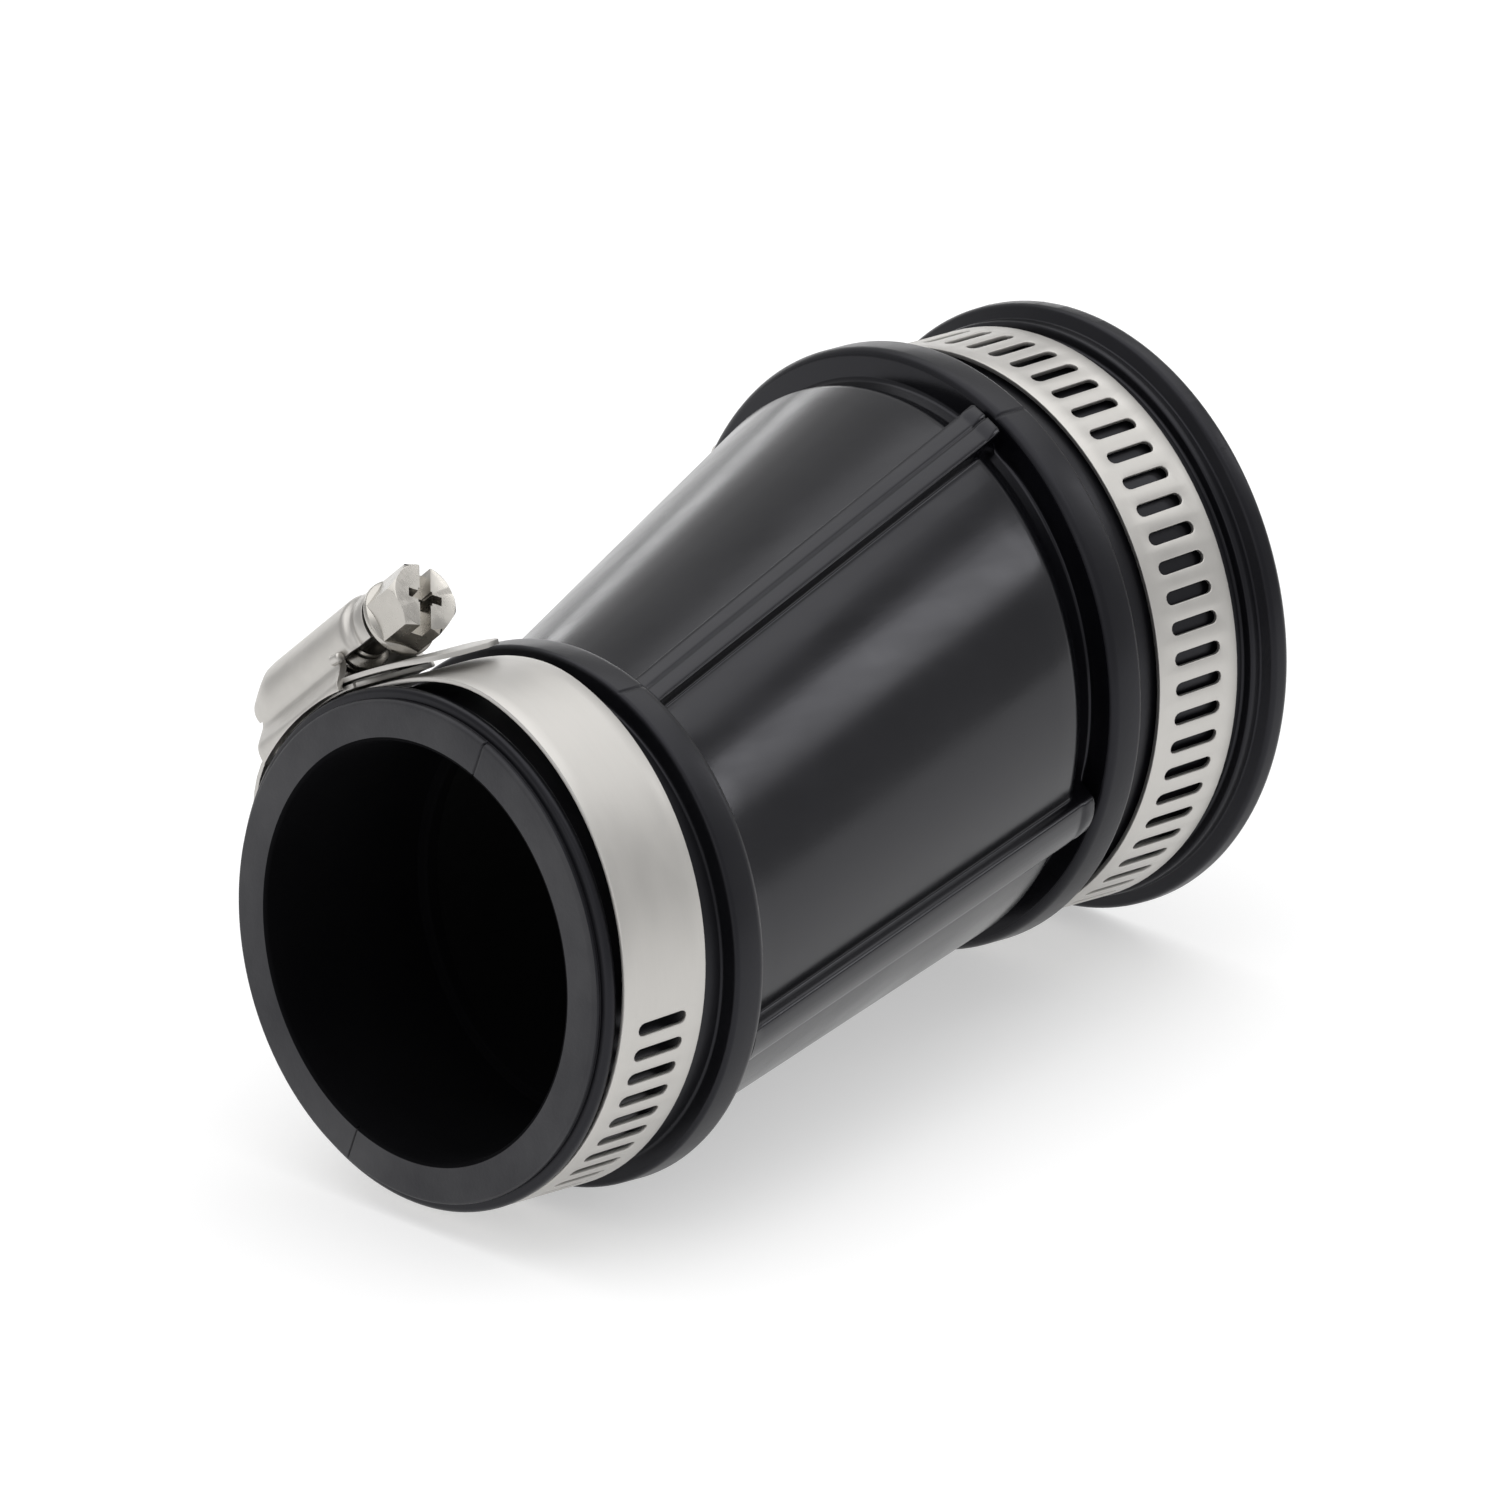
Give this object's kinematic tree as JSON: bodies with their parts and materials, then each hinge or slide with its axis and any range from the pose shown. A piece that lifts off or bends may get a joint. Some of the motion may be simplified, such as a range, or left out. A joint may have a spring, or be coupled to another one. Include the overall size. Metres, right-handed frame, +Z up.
{
  "type": "pipe coupling",
  "caption": "Flexible offset reducing pipe coupling: a black rubber sleeve with two round sockets on parallel axes, held by worm-drive steel hose clamps.",
  "frame": {"origin": "centre of the small mouth, on the small collar's axis", "axes": "+X along the collar axes from the small mouth to the large one; +Z up as the coupling lies on a table; the large collar is set over towards +Y and a little up"},
  "size_m": [0.1024, 0.0808, 0.0601],
  "materials": {
    "rubber": "satin moulded black rubber",
    "band_steel": "rolled stainless strip, lightly brushed along its length",
    "housing_steel": "pressed stainless sheet",
    "screw_steel": "zinc-bright steel screw"
  },
  "bodies": {
    "sleeve": {"sleeve": "rubber"},
    "small_clamp": {"small_band": "band_steel", "small_saddle": "band_steel", "small_housing": "housing_steel"},
    "small_tail": {"small_band_tail": "band_steel"},
    "small_screw": {"small_screw": "screw_steel"},
    "large_clamp": {"large_band": "band_steel", "large_saddle": "band_steel", "large_housing": "housing_steel"},
    "large_tail": {"large_band_tail": "band_steel"},
    "large_screw": {"large_screw": "screw_steel"}
  },
  "joints": [
    {"name": "small_clamp_swivel", "type": "hinge", "parent": "sleeve", "child": "small_clamp", "pos_m": [0.0072, 0, 0], "axis": [1, 0, 0], "continuous": true},
    {"name": "small_screw_turn", "type": "hinge", "parent": "small_clamp", "child": "small_screw", "pos_m": [0.0072, 0.01843, 0.02047], "axis": [0, 0.7431, -0.6691], "range_deg": [0, 470]},
    {"name": "small_tail_feed", "type": "hinge", "parent": "small_clamp", "child": "small_tail", "pos_m": [0.0072, 0, 0], "axis": [1, 0, 0], "range_deg": [0, 8]},
    {"name": "large_clamp_swivel", "type": "hinge", "parent": "sleeve", "child": "large_clamp", "pos_m": [0.0919, 0.01986, 0.00684], "axis": [1, 0, 0], "continuous": true},
    {"name": "large_screw_turn", "type": "hinge", "parent": "large_clamp", "child": "large_screw", "pos_m": [0.0919, 0.04984, 0.00155], "axis": [0, -0.1736, -0.9848], "range_deg": [0, 525]},
    {"name": "large_tail_feed", "type": "hinge", "parent": "large_clamp", "child": "large_tail", "pos_m": [0.0919, 0.01986, 0.00684], "axis": [1, 0, 0], "range_deg": [0, 8]}
  ],
  "couplings": [
    {"joint": "small_screw_turn", "follows": "small_tail_feed", "ratio": 58.703},
    {"joint": "large_screw_turn", "follows": "large_tail_feed", "ratio": 65.449}
  ]
}
